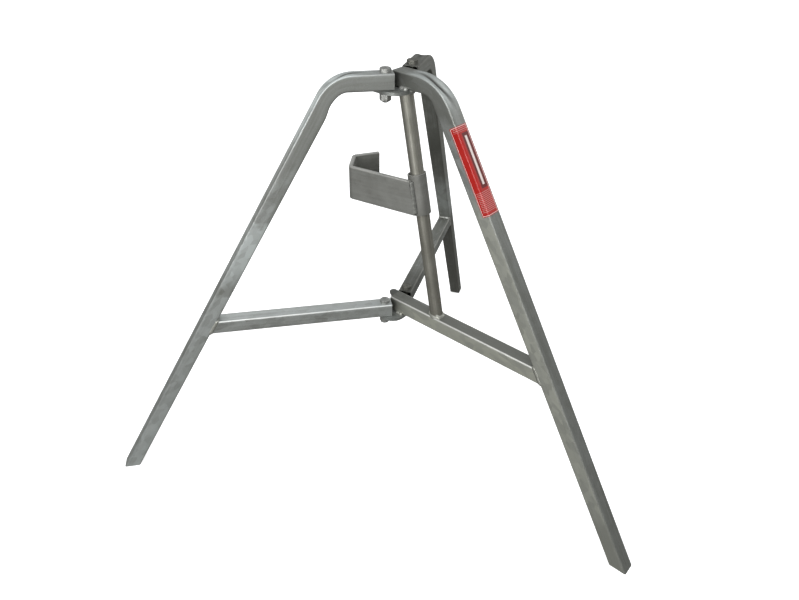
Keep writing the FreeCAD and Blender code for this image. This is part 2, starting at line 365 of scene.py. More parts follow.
def galvanised_tube(name, half, shift, tone, top_tone, corners, lengths, groove=None):
    """Hot-dip zinc on a square tube: crystals of about 10 mm, clouds, streaks along the tube, corners in
    their own colour (colour, least share, gloss), which is painted highlight where light and painted
    shade where dark, a top wall shifted by its own tone, painted shade where darker and painted light
    where lighter, a near-black inside that is painted shade, and lengths (start, its softness, end along
    the tube, strength on the side walls and on the top wall, colour) with an uneven edge, which paint
    light, shade and paler or darker patches. A groove (start, end) gets painted shade along the top
    wall's middle."""
    material, shader, base = new_finish(name, TUBE_METAL)
    place = base.unbent()
    along, side, lift = place.parts()
    spot = place.moved((shift, PATTERN_SKEW * shift, 0))
    crystal = spot.stretched(CRYSTAL_SHAPE).crystals(TUBE_CRYSTALS)
    cloud = spot.cloud(*TUBE_CLOUDS)
    streak = spot.streaks(TUBE_STREAKS)
    grain = spot.cloud(*TUBE_GRAIN)
    wander = along + (spot.cloud(*PATCH_CLOUDS) - 0.5) * PATCH_WANDER
    corner_tint, least_corner_share, gloss = corners

    def near_wall(value, depths):
        """0 at the first depth below the outside, 1 at the second."""
        return value.step(half - depths[0], half - depths[1])

    top = near_wall(lift, TOP_DEPTHS)
    # Corners in their own colour: painted highlight where it is light, painted shade where it is dark.
    edge = near_wall(abs(side).least(abs(lift)), CORNER_DEPTHS) * (cloud * 0.9 + least_corner_share)
    inside = 1 - near_wall(abs(side).most(abs(lift)), INSIDE_DEPTHS)
    mark = mixed((cloud, 1.0), (crystal, 0.26), (streak, 1.0), (grain, 0.45))
    # The top wall's tone shift is painted shade where it darkens and painted light where it lightens.
    dull = (0.5 - mark + tone + near_wall(lift, TOP_SHADE_DEPTHS) * top_tone).step(*DULL_SPAN)
    colour = edge.blend(dull.blend(ZINC_PALE, DARK_ZINC_AND_SHADE), corner_tint)
    # Lengths of painted light and painted shade, and some paler and darker patches.
    for start, soft, end, on_sides, on_top, tint in lengths:
        patch = wander.step(start - soft, start + soft)
        patch = patch * (1 - wander.step(end - PATCH_SOFT, end + PATCH_SOFT))
        strength = on_sides + top * (on_top - on_sides)
        colour = (patch * strength * (0.6 + crystal * 0.5)).blend(colour, tint)
    # Painted shade along the middle of the top wall in the bend's hollow.
    if groove:
        groove_shade = along.between(*groove, GROOVE_SOFT) * top
        groove_shade = groove_shade * (1 - abs(side).step(*GROOVE_HALF)) * (0.5 + cloud * 0.7)
        colour = groove_shade.blend(colour, PAINTED_SHADE)
    # Painted shade: the inside of the tube is painted near black.
    inside.blend(colour, TUBE_INSIDE_SHADE).feed(shader, "Base Color")
    (0.44 + dull * 0.20 + (crystal - 0.5) * 0.10 - edge * gloss).feed(shader, "Roughness")
    (crystal * 0.25 + cloud * 0.9 + grain * 0.35).raise_surface(shader, 0.16, 0.0012)
    return material


BEFORE = -0.2
BEYOND = 1.3
# Corner colours (colour, least share, gloss): painted shade on the legs' corners and the back brace's, a painted
# highlight on the main and left braces' corners.
LEG_CORNER_SHADE = {
    "main": ((0.29, 0.30, 0.275, 1), 0.1, -0.08),
    "left": ((0.34, 0.35, 0.34, 1), 0.1, 0.14),
    "back": ((0.17, 0.17, 0.155, 1), 0.1, 0.0),
}
BRACE_CORNER_LIGHT_SHADE = {
    "main": ((0.97, 0.97, 0.93, 1), 0.5, 0.24),
    "left": ((0.88, 0.89, 0.86, 1), 0.1, 0.14),
    "back": ((0.30, 0.30, 0.275, 1), 0.1, 0.0),
}
# Lengths along each leg. Main: painted shade along the arm and bend, darkest by the seat, a painted highlight on
# the bend's top wall, painted light with a warmer tint on the lower sides, painted shade on the top wall below the
# bend, and darker towards the foot. Left: darker sides along the arm and bend, a painted highlight on the bend's
# top wall, a pale patch on the side, and painted light on the lower leg. Back: painted shade on the arm, the bend
# and the lower leg, and a lighter band.
LEG_LENGTHS = {
    "main": [(BEFORE, 0.01, 0.16, 0.9, 0.2, DARK_ZINC_AND_SHADE), (BEFORE, 0.01, 0.05, 0.3, 0.2, PAINTED_SHADE),
             (0.06, 0.03, 0.105, 0.0, 0.85, PAINTED_LIGHT_AND_PALE_PATCH), (0.30, 0.03, BEYOND, 0.65, 0.0, WARM_TINT_AND_LIGHT),
             (0.125, 0.015, BEYOND, 0.0, 0.5, DARK_ZINC_AND_SHADE), (0.99, 0.05, BEYOND, 0.5, 0.3, DARK_ZINC_AND_SHADE)],
    "left": [(BEFORE, 0.01, 0.29, 0.6, 0.0, DARK_ZINC_AND_SHADE), (0.06, 0.04, 0.22, 0.0, 0.9, PAINTED_LIGHT_AND_PALE_PATCH),
             (0.405, 0.006, 0.545, 1.0, 0.3, PAINTED_LIGHT_AND_PALE_PATCH), (0.585, 0.01, BEYOND, 0.4, 0.1, PAINTED_LIGHT_AND_PALE_PATCH),
             (0.92, 0.06, BEYOND, 0.5, 0.2, PAINTED_LIGHT_AND_PALE_PATCH)],
    "back": [(BEFORE, 0.01, 0.15, 0.20, 0.45, PAINTED_SHADE), (0.66, 0.03, BEYOND, 0.35, 0.35, PAINTED_SHADE),
             (0.50, 0.06, 0.64, 0.45, 0.1, PAINTED_LIGHT_AND_PALE_PATCH)],
}
# Lengths along each brace from the hinge end: painted light with a warmer tint on the main brace's sides, painted
# shade by the hinge on the main and back braces, and painted light on the left brace's top wall.
BRACE_LENGTHS = {
    "main": [(BEFORE, 0.01, BEYOND, 1.0, 0.0, WARM_TINT_AND_LIGHT), (BEFORE, 0.01, 0.035, 0.55, 0.35, PAINTED_SHADE)],
    "left": [(BEFORE, 0.01, BEYOND, 0.1, 0.3, PAINTED_LIGHT_AND_PALE_PATCH)],
    "back": [(BEFORE, 0.01, 0.09, 0.5, 0.6, PAINTED_SHADE)],
}
# Span of the bend whose hollow gets painted shade along its middle.
BEND_SPAN = (0.06, 0.112)
# Tone shifts of the mottling; the back leg's and back brace's darker tones are painted shade.
LEG_TONE = {"main": 0.0, "left": -0.02, "back": 0.40}
# Top wall tone shifts: painted shade where positive, painted light where negative, as on the left brace.
LEG_TOP_TONE = 0.15
BRACE_TONE = {"main": -0.20, "left": -0.05, "back": 0.12}
BRACE_TOP_TONE = {"main": 0.70, "left": -0.20, "back": 0.2}

for number, (name, leg) in enumerate(LEGS.items()):
    half, slope = leg["half"], leg["slope"]
    shift = PATTERN_STEP * number
    bend_turns = np.linspace(0, slope, BEND_ROWS)
    outer = bent_wall(leg, half, leg["bend"], bend_turns)
    inner = bent_wall(leg, -half, BEND_INNER, bend_turns)
    if name == "main":
        fade = np.cos(np.linspace(0, math.pi / 2, BENT.stop)) ** 2
        outer[:BENT.stop, 1] -= ARM_SQUEEZE * fade
    else:
        past = length_along(inner)
        share = (past - past[BENT.stop - 1] + DENT_BEFORE) / (DENT_BEFORE + DENT_PAST)
        dent = INNER_DENT * np.sin(math.pi * np.clip(share, 0, 1)) ** 2
        inner = inner + dent[:, None] * [math.sin(slope), math.cos(slope)]
    hollow = np.zeros(len(outer))
    hollow[BENT] = BEND_HOLLOW * np.sin(math.pi * bend_turns / slope) ** 2
    points, places, faces = tube_shell(outer, inner, hollow, half)
    zinc = galvanised_tube(f"{name}_leg_zinc", half, shift, LEG_TONE[name], LEG_TOP_TONE,
                           LEG_CORNER_SHADE[name], LEG_LENGTHS[name], BEND_SPAN)
    tube = make_piece(f"{name}_bent_tube", stand(points, leg), faces, zinc, places=places)
    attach(tube, leg["body"])
    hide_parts(f"{name}_leg_tube")

    high, low = BRACE_UNDER + 2 * half, BRACE_UNDER
    share = np.linspace(0, 1, BRACE_ROWS)[:, None]
    top = np.array([0, high]) + share * [wall_run(leg, high, -half), 0]
    bottom = np.array([0, low]) + share * [wall_run(leg, low, -half), 0]
    points, places, faces = tube_shell(top, bottom, np.zeros(BRACE_ROWS), half)
    zinc = galvanised_tube(f"{name}_brace_zinc", half, shift + BRACE_STEP, BRACE_TONE[name],
                           BRACE_TOP_TONE[name], BRACE_CORNER_LIGHT_SHADE[name], BRACE_LENGTHS[name])
    tube = make_piece(f"{name}_cross_tube", stand(points, leg), faces, zinc, places=places)
    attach(tube, leg["body"])
    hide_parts(f"{name}_brace")


# Leg welds: a bead all round the end of each brace, where it meets the inner wall of its leg. Laid by
# hand with a wire gun, so it is scaled like a fish and wanders in size. The zinc has run smooth and
# dull over the two near beads, and stands bright and lumpy on the back leg's.
BEAD_LEG = 0.0042
BEAD_SWELL = 0.0009
BEAD_PITCH = 0.0024
BEAD_TAPER = 0.004
BEAD_SINK = 0.15
BEAD_STEPS = 6
BEAD_ACROSS = 9
BEAD_LOOP = (9, 9, 8)
SCALY = 0.12
SMOOTH = 0.05
BEAD_PALE = (0.56, 0.57, 0.55, 1)
BEAD_DARK = (0.24, 0.24, 0.215, 1)
BEAD_DULL = (0.40, 0.405, 0.365, 1)
BEAD_DULL_DARK = (0.29, 0.295, 0.265, 1)


def weld_bead(root, toe_a, toe_b, swell, closed, scaly=SCALY):
    """Surface of a weld bead along a seam; the first four are rows of points or vectors.

    A point is root + (1 - t) toe_a + t toe_b + 4t(1 - t) swell, with t across the bead. The swell rises
    and falls in crescents along the seam and the whole bead grows and thins slowly, both by the share
    scaly, and an open bead tapers to a point at both ends. One more point behind each section closes
    it inside the metal."""
    parts = [np.broadcast_to(part, root.shape) for part in (root, toe_a, toe_b, swell)]
    fields = np.concatenate(parts, -1)
    if closed:
        fields = np.concatenate([fields, fields[:1]])
    stations = length_along(fields[:, :3])
    length = stations[-1]
    scales = max(2, round(length / BEAD_PITCH))
    along = np.linspace(0, length, scales * BEAD_STEPS + 1)[:-1 if closed else None]
    fields = np.stack([np.interp(along, stations, column) for column in fields.T], -1)
    root, toe_a, toe_b, swell = np.moveaxis(fields.reshape(-1, 4, 3), 1, 0)[:, :, None, :]
    turn = 2 * math.pi * along[:, None] / length
    size = 1 + scaly * (0.8 * np.sin(3 * turn + 1) + 0.6 * np.sin(7 * turn))
    if not closed:
        near = np.clip(np.minimum(along, length - along) / BEAD_TAPER, 0, 1)[:, None]
        size = size * np.sqrt(1 - (1 - near) ** 2)
    across = np.linspace(0, 1, BEAD_ACROSS)
    hump = 4 * across * (1 - across)
    crescents = 1 + scaly * np.cos(scales * turn - 2.4 * hump)
    size = size[..., None]
    face = root + size * ((1 - across)[:, None] * toe_a + across[:, None] * toe_b
                          + (hump * crescents)[..., None] * swell)
    behind = root - BEAD_SINK * size * (toe_a + toe_b)
    points = np.concatenate([face, behind], 1)
    return points, grid_faces(len(points), BEAD_ACROSS + 1, closed)


def weld_zinc(name, pale, dark):
    """Zinc over a bead: pale and darker clouds with darker specks, rougher where darker."""
    material, shader, base = new_finish(name, 0.8)
    place = base.in_frame()
    cloud = place.cloud(130.0, 5.0, 0.65)
    speck = place.cloud(900.0, 2.0).step(0.60, 0.74)
    dull = ((1 - cloud) * 1.3 - 0.15 + speck * 0.35).step(0.1, 0.95)
    dull.blend(pale, dark).feed(shader, "Base Color")
    (0.42 + dull * 0.26).feed(shader, "Roughness")
    (cloud + speck * 0.5).raise_surface(shader, 0.16, 0.0006)
    return material


bead_zinc = weld_zinc("bead_zinc", BEAD_PALE, BEAD_DARK)
dull_bead_zinc = weld_zinc("dull_bead_zinc", BEAD_DULL, BEAD_DULL_DARK)


def add_bead(name, bead, body, finish=bead_zinc):
    """Bead as a piece that rides on a body."""
    points, faces = bead
    made = make_piece(name, points, faces, finish, sharp=60.0)
    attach(made, body)


to_seat = np.array([-1.0, 0, 0])
sideways = np.array([0, 1.0, 0])
for name, leg in LEGS.items():
    half, slope = leg["half"], leg["slope"]
    level = BRACE_UNDER + half
    tall = half / math.sin(slope)
    up_wall = np.array([-math.cos(slope), 0, math.sin(slope)])
    into_wall = np.array([math.sin(slope), 0, math.cos(slope)])
    flat_side, flat_up, round_side, round_up = around_tube(*BEAD_LOOP).T[:, :, None]
    middle = np.array([wall_run(leg, level, -half), 0, level])
    root = (middle + sideways * (flat_side * (half - TUBE_CORNER) + round_side * TUBE_CORNER)
            + up_wall * (flat_up * (tall - TUBE_CORNER) + round_up * TUBE_CORNER))
    on_wall = BEAD_LEG * (up_wall * round_up + into_wall * 0.9 * round_side ** 2)
    out = up_wall * round_up * 0.7 + to_seat * round_up ** 2 * 0.4 + 1.3 * sideways * round_side
    scaly, zinc = (SCALY, bead_zinc) if name == "back" else (SMOOTH, dull_bead_zinc)
    points, faces = weld_bead(root, on_wall, BEAD_LEG * to_seat, BEAD_SWELL * out, True, scaly)
    add_bead(f"{name}_brace_bead", (stand(points, leg), faces), leg["body"], zinc)


# Hinge plates: two plates flame-cut from 6 mm steel, with a round mouth for the seat, welded under
# the arm and under the brace of the fixed leg by short beads along the tube's sides and across both
# its ends. The zinc is duller than on the tubes, with painted shade on the half by the back leg.
LEVELS = {"upper": ARM_UNDER, "lower": BRACE_UNDER}
PLATE_TAIL = 0.1015
PLATE_PALE = (0.40, 0.42, 0.41, 1)
PLATE_DARK = (0.17, 0.175, 0.16, 1)
PLATE_STREAKS = (9.0, 60.0, 60.0)
SHADE_FROM = 0.005
SHADE_FULL = 0.025
SEAM_POINTS = 12
SIDE_SEAM = (0.080, 0.0985)
SIDE_OUT = 0.0055
SIDE_UP = 0.0050
SIDE_SWELL = 0.0013
TAIL_HALF = 0.0145
TAIL_TOE = 0.0045
TAIL_SWELL = 0.0009
END_HALF = 0.0125
END_OUT = 0.0035
END_UP = 0.0023
END_SWELL = 0.0006


def galvanised_plate(name):
    """Hot-dip zinc on plate: clouds, fine crystals, grain, streaks along X, and painted shade on the far half."""
    material, shader, base = new_finish(name, 0.75)
    place = base.in_frame()
    crystal = place.crystals(110.0)
    cloud = place.cloud(24.0, 6.0, 0.62)
    streak = place.streaks(PLATE_STREAKS)
    grain = place.cloud(520.0, 3.0)
    mark = mixed((cloud, 1.4), (crystal, 0.25), (streak, 0.8), (grain, 0.3))
    dull = (0.5 - mark + 0.05).step(*DULL_SPAN)
    # Painted shade on the half of the plate behind the seat.
    far_shade = place.parts()[1].step(seat[1] + SHADE_FROM, seat[1] + SHADE_FULL) * (0.45 + cloud * 0.5)
    far_shade.blend(dull.blend(PLATE_PALE, PLATE_DARK), PAINTED_SHADE).feed(shader, "Base Color")
    (0.46 + dull * 0.2 + (crystal - 0.5) * 0.08).feed(shader, "Roughness")
    (cloud * 0.8 + grain * 0.5 + crystal * 0.2).raise_surface(shader, 0.18, 0.001)
    return material


plate_zinc = galvanised_plate("plate_zinc")
main_half = LEGS["main"]["half"]
for level, under in LEVELS.items():
    plate = frame["nodes"][f"{level}_hinge_plate"]
    plate.data.materials.clear()
    plate.data.materials.append(plate_zinc)
    side_zinc = bead_zinc if level == "upper" else dull_bead_zinc
    x = seat[0] + np.linspace(*SIDE_SEAM, SEAM_POINTS)
    for name, side in (("near", -1.0), ("far", 1.0)):
        root = as_points(x, seat[1] + side * main_half, under)
        bead = weld_bead(root, [0, side * SIDE_OUT, 0], [0, 0, SIDE_UP],
                         [0, side * SIDE_SWELL, SIDE_SWELL], False, SMOOTH)
        add_bead(f"{level}_plate_{name}_bead", bead, "frame", side_zinc)
    y = seat[1] + np.linspace(-TAIL_HALF, TAIL_HALF, SEAM_POINTS)
    root = as_points(seat[0] + PLATE_TAIL, y, under)
    bead = weld_bead(root, [TAIL_TOE, 0, 0], [0, 0, -TAIL_TOE], [TAIL_SWELL, 0, -TAIL_SWELL], False)
    add_bead(f"{level}_plate_tail_bead", bead, "frame")
    y = seat[1] + np.linspace(-END_HALF, END_HALF, SEAM_POINTS)
    root = as_points(seat[0] + ARM_END, y, under)
    bead = weld_bead(root, [-END_OUT, 0, 0], [0, 0, END_UP], [-END_SWELL, 0, END_SWELL], False)
    add_bead(f"{level}_plate_end_bead", bead, "frame")


# Wedge bar: a 26.9 mm round tube that leans out from the upper plate to the fixed leg's brace, so
# that what slides down it closes on the seat. Welded all round at both ends, with one fat stop of the
# bead on the near side of its foot; rubbed dull and streaked by the sleeve.
BAR_RADIUS = 0.01345
BAR_WALL = 0.0032
BAR_LEAN = math.radians(12.1)
BAR_TOP_X = 0.0802
BAR_TOP = 0.855
BAR_FOOT = BRACE_UNDER + 2 * main_half
BAR_TURNS = 64
BAR_ROWS = 30
BAR_PALE = (0.35, 0.345, 0.305, 1)
BAR_DARK = (0.18, 0.175, 0.15, 1)
BAR_STREAKS = (4.0, 150.0, 150.0)
BAR_SCORES = (9.0, 900.0, 900.0)
BAR_DARKER_SPAN = (0.48, 0.76)
RING_TURNS = 180
TOP_TOE = 0.0048
TOP_SWELL = 0.0008
FOOT_TOE = 0.0042
FOOT_SIDE_TOE = 0.0024
FOOT_DROP = 0.0021
FOOT_SWELL = 0.0007
STOP_TURN = 5.5
STOP_WIDE = 0.3
STOP_FAT = 0.9
up_bar = np.array([-math.sin(BAR_LEAN), 0, math.cos(BAR_LEAN)])
out_bar = np.array([math.cos(BAR_LEAN), 0, math.sin(BAR_LEAN)])


def full_turn(count):
    """Angles that part one full turn evenly."""
    return np.linspace(0, 2 * math.pi, count, endpoint=False)


def bar_ring(height, radius, turns):
    """Level cut through the leaning bar: an ellipse, radius / cos(lean) along X and radius along Y,
    about the bar's axis at that height: seat + top offset + drop * tan(lean)."""
    axis_x = seat[0] + BAR_TOP_X + (BAR_TOP - height) * math.tan(BAR_LEAN)
    x = axis_x + radius / math.cos(BAR_LEAN) * np.cos(turns)
    return as_points(x, seat[1] + radius * np.sin(turns), height)


def rubbed_bar(name):
    """Zinc rubbed by the sleeve: long streaks and fine scores along the bar, warm grey, darker
    towards its foot."""
    material, shader, base = new_finish(name, 0.75)
    place = base.unbent()
    cloud = place.cloud(16.0, 5.0, 0.6)
    streak = place.streaks(BAR_STREAKS, 5.0)
    score = place.streaks(BAR_SCORES, 2.0)
    grain = place.cloud(500.0, 3.0)
    mark = mixed((cloud, 1.1), (streak, 1.5), (score, 0.5), (grain, 0.3))
    foot = 1 - place.parts()[0].step(*BAR_DARKER_SPAN)
    dull = (0.5 - mark + foot * 0.22).step(*DULL_SPAN)
    dull.blend(BAR_PALE, BAR_DARK).feed(shader, "Base Color")
    (0.50 + dull * 0.20).feed(shader, "Roughness")
    (streak * 0.5 + score * 0.5 + grain * 0.4).raise_surface(shader, 0.12, 0.0008)
    return material


turns = full_turn(BAR_TURNS)
heights = np.linspace(BAR_FOOT, BAR_TOP, BAR_ROWS)[:, None]
outside = bar_ring(heights, BAR_RADIUS, turns)
inside = bar_ring(heights, BAR_RADIUS - BAR_WALL, turns)
points = np.concatenate([outside, inside[::-1]])
along = np.concatenate([heights, heights[::-1]]) / math.cos(BAR_LEAN)
places = as_points(along, BAR_RADIUS * np.cos(turns), BAR_RADIUS * np.sin(turns))
faces = grid_faces(len(points), BAR_TURNS, True)
bar = make_piece("leaning_bar", points, faces, rubbed_bar("rubbed_bar"), places=places)
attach(bar, "frame")
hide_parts("wedge_bar")

turns = full_turn(RING_TURNS)
across = as_points(np.cos(turns), np.sin(turns), 0)
root = bar_ring(BAR_TOP, BAR_RADIUS, turns)
bead = weld_bead(root, TOP_TOE * across, -TOP_TOE * up_bar, TOP_SWELL * (across - up_bar), True)
add_bead("bar_top_bead", bead, "frame")

fat = 1 + STOP_FAT * np.exp(-((turns - STOP_TURN) / STOP_WIDE) ** 2)
root = bar_ring(BAR_FOOT, BAR_RADIUS, turns)
on_brace = as_points(FOOT_TOE * fat * np.cos(turns), FOOT_SIDE_TOE * np.sin(turns),
                     -FOOT_DROP * np.sin(turns) ** 6)
on_bar = FOOT_TOE * fat[:, None] * up_bar
bead = weld_bead(root, on_brace, on_bar, FOOT_SWELL * (across + up_bar), True, SMOOTH)
add_bead("bar_foot_bead", bead, "frame", dull_bead_zinc)


# Pivot bolts and flange nuts: M12 zinc-plated hex bolts drop through each folding arm and brace and
# through a hinge plate; the flange nut sits under the plate. Heads are chamfered round the top. The
# plating is grey on the left leg's bolts and darker on the back leg's.
PLATE_THICK = 0.006
BOLT_RADIUS = 0.006
BOLT_TAIL = 0.003
BOLT_TIP = 0.0048
BOLT_TURNS = 72
BOLT_SHARP = 28.0
HEX_FLATS = 0.019
HEX_ROWS = 11
HEX_CHAMFER = 0.96
HEAD_HIGH = 0.0075
HEAD_FLAT = 0.004
HEAD_TURN = 0.3
THREAD_POINTS = 40
THREAD_TURNS = 8
THREAD_DEEP = 0.0005
THREAD_INSIDE = 0.004
END_CHAMFER = 0.001
NUT_HIGH = 0.012
NUT_TURN = 0.1
NUT_CLEAR = 0.0002
NUT_MOUTH = 0.0072
NUT_FLANGE = 0.012
FLANGE_THICK = 0.0025
FLANGE_RIM = [[-0.0005, 0], [0, -0.0006], [0, -0.0014], [-0.0006, -0.0019]]
PLATED_PALE = (0.46, 0.47, 0.455, 1)
PLATED_DARK = (0.20, 0.20, 0.185, 1)
DARKER_PLATED_PALE = (0.25, 0.25, 0.22, 1)
DARKER_PLATED_DARK = (0.09, 0.09, 0.08, 1)


def plated_fastener(name, pale, dark):
    """Zinc plating that is no longer bright: clouds and fine specks from a pale to a dark tone."""
    material, shader, base = new_finish(name, 0.85)
    place = base.in_frame()
    cloud = place.cloud(160.0, 5.0, 0.6)
    speck = place.cloud(1100.0, 2.0)
    dull = ((0.5 - cloud) * 1.2 + 0.5 + (speck - 0.5) * 0.25).step(0.0, 1.0)
    dull.blend(pale, dark).feed(shader, "Base Color")
    (0.46 + dull * 0.18).feed(shader, "Roughness")
    (cloud + speck * 0.2).raise_surface(shader, 0.06, 0.0004)
    return material


def turned_profile(centre, before, flats, after, turns):
    """Rings about an upright axis from rows (radius, height). The rows of the flats keep within a
    hexagon: radius = least of the row's own and half flats / cos(angle from the nearest flat)."""
    profile = np.concatenate([before, flats, after])
    from_flat = (turns + math.pi / 6) % (math.pi / 3) - math.pi / 6
    hexagon = HEX_FLATS / 2 / np.cos(from_flat)
    hexed = slice(len(before), len(before) + len(flats))
    radius = np.repeat(profile[:, :1], len(turns), axis=1)
    radius[hexed] = np.minimum(radius[hexed], hexagon)
    x, y = centre[0] + radius * np.cos(turns), centre[1] + radius * np.sin(turns)
    return as_points(x, y, profile[:, 1:])


def chamfered_flats(start, end):
    """Rows of a hexagon's outside from one height to another; its corners are cut by a 30 degree cone
    that meets the flats at the end."""
    heights = np.linspace(start, end, HEX_ROWS)
    corner = HEX_FLATS / 2 * HEX_CHAMFER + abs(end - heights) * math.tan(math.radians(60))
    return np.stack([corner, heights], -1)


platings = {
    "left": plated_fastener("grey_plating", PLATED_PALE, PLATED_DARK),
    "back": plated_fastener("grimy_plating", DARKER_PLATED_PALE, DARKER_PLATED_DARK),
}
turns = full_turn(BOLT_TURNS)
thread = np.linspace(0, 1, THREAD_POINTS)
ribs = BOLT_RADIUS - THREAD_DEEP * (0.5 - 0.5 * np.cos(2 * math.pi * THREAD_TURNS * thread))
for side, plating in platings.items():
    pivot = pivots[LEGS[side]["body"]]
    for level, under in LEVELS.items():
        top = under + 2 * LEGS[side]["half"]
        head = top + HEAD_HIGH
        plate_under = under - PLATE_THICK
        flange_low = plate_under - FLANGE_THICK
        nut_low = flange_low - NUT_HIGH
        tail = nut_low - BOLT_TAIL
        shank_end = flange_low - THREAD_INSIDE
        ribbed = np.stack([ribs, shank_end + (tail + END_CHAMFER - shank_end) * thread], -1)
        shank = np.concatenate([[[BOLT_RADIUS, top], [BOLT_RADIUS, plate_under]], ribbed,
                                [[BOLT_TIP, tail], [0, tail]]])
        points = turned_profile(pivot, [[0, head], [HEAD_FLAT, head]], chamfered_flats(top, head)[::-1],
                                shank, turns + HEAD_TURN)
        faces = grid_faces(len(points), BOLT_TURNS, False)
        bolt = make_piece(f"{side}_{level}_hex_bolt", points, faces, plating, sharp=BOLT_SHARP)
        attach(bolt, "frame")
        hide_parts(f"{side}_{level}_bolt")

        bore = BOLT_RADIUS + NUT_CLEAR
        flange = np.concatenate([[[bore, plate_under]], np.array(FLANGE_RIM) + [NUT_FLANGE, plate_under]])
        points = turned_profile(pivot, flange, chamfered_flats(flange_low, nut_low),
                                [[NUT_MOUTH, nut_low], [bore, nut_low + END_CHAMFER]], turns + NUT_TURN)
        faces = grid_faces(len(points), BOLT_TURNS, True)
        nut = make_piece(f"{side}_{level}_flange_nut", points, faces, plating, sharp=BOLT_SHARP)
        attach(nut, "frame")
        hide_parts(f"{side}_{level}_nut")


# Clamp: a length of 36.5 mm tube slides on the wedge bar as a sleeve, and a 70 x 8 mm flat strap,
# bent twice to hook round the seat, is welded along it by two upright beads. Rolled edges, dull
# grey zinc, worn lighter where hammer and hand meet it along the top.
SLEEVE_RADIUS = 0.01825
SLEEVE_WALL = 0.0029
SLEEVE_ENDS = (-0.037, 0.045)
SLEEVE_EDGE = 0.0007
SLEEVE_LOOP = (3, 15, 6)
SLEEVE_TURNS = 72
STRAP_HIGH = 0.070
STRAP_THICK = 0.008
STRAP_INNER = 0.0398
STRAP_LEVEL = 0.658
STRAP_TURN = math.radians(65)
STRAP_BEND = 0.005
STRAP_END = 0.026
STRAP_EDGE = 0.0012
STRAP_BITE = 0.002
STRAP_GAP = 0.0003
STRAP_LOOP = (3, 27, 6)
STRAP_ROWS = 15
STRAP_FLAT_ROWS = 12
STRAP_BY_SLEEVE = 0.14
STRAP_RIM = 0.96
STRAP_LOW_RIM = 0.55
SEAM_ENDS = (-0.0335, 0.0345)
SEAM_ROWS = 40
END_BEAD_SCALY = 0.03
CLAMP_PALE = (0.36, 0.365, 0.345, 1)
CLAMP_DARK = (0.20, 0.20, 0.185, 1)
CLAMP_WORN = (0.58, 0.58, 0.55, 1)
CLAMP_SEAM = (0.21, 0.215, 0.20, 1)
CLAMP_SEAM_DARK = (0.16, 0.16, 0.15, 1)
CLAMP_STREAKS = (8.0, 160.0, 0.0)

sleeve = pivots["clamp_strap"]
strap_tilt = math.asin((STRAP_INNER - SLEEVE_RADIUS + STRAP_BITE) / (sleeve[0] - seat[0]))


def leaning(out, side, along):
    """Sleeve coordinates to the frame: sleeve middle + out * outwards + side * Y + along * bar's axis."""
    out, side, along = np.moveaxis(as_points(out, side, along), -1, 0)[..., None]
    return sleeve + out * out_bar + side * sideways + along * up_bar


def dull_clamp(name, worn, tone):
    """Dull dipped zinc on flat bar and tube: clouds, rolling streaks, and a rubbed rim given by the
    third part of the place, 0 in the field and 1 on the rim."""
    material, shader, base = new_finish(name, 0.72)
    place = base.unbent()
    cloud = place.cloud(26.0, 6.0, 0.62)
    streak = place.streaks(CLAMP_STREAKS)
    grain = place.cloud(480.0, 3.0)
    mark = mixed((cloud, 1.3), (streak, 0.7), (grain, 0.35))
    dull = (0.5 - mark + tone).step(*DULL_SPAN)
    rubbed = place.parts()[2].step(0.3, 0.9) * (cloud * 1.1 + 0.1) * worn
    rubbed.blend(dull.blend(CLAMP_PALE, CLAMP_DARK), CLAMP_WORN).feed(shader, "Base Color")
    (0.48 + dull * 0.2 - rubbed * 0.14).feed(shader, "Roughness")
    (cloud * 0.8 + grain * 0.5).raise_surface(shader, 0.18, 0.001)
    return material


turns = full_turn(SLEEVE_TURNS)
flat_out, flat_up, round_out, round_up = around_tube(*SLEEVE_LOOP).T[:, :, None]
thick, tall = SLEEVE_WALL / 2, (SLEEVE_ENDS[1] - SLEEVE_ENDS[0]) / 2
radius = SLEEVE_RADIUS - thick + flat_out * (thick - SLEEVE_EDGE) + round_out * SLEEVE_EDGE
along = sum(SLEEVE_ENDS) / 2 + flat_up * (tall - SLEEVE_EDGE) + round_up * SLEEVE_EDGE
points = leaning(radius * np.cos(turns), radius * np.sin(turns), along)
places = as_points(along, SLEEVE_RADIUS * np.sin(turns), np.abs(round_up))
faces = grid_faces(len(points), SLEEVE_TURNS, True)
piece = make_piece("sliding_sleeve", points, faces, dull_clamp("sleeve_zinc", 0.8, 0.35), places=places)
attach(piece, "clamp_sleeve")
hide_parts("clamp_sleeve")


def strap_line(angle, radius, along):
    """Point on a flat of the strap in plan: radius out along its normal, then along the flat."""
    angle, radius, along = np.broadcast_arrays(angle, radius, along)
    return np.stack([np.cos(angle) * radius - np.sin(angle) * along,
                     np.sin(angle) * radius + np.cos(angle) * along], -1)


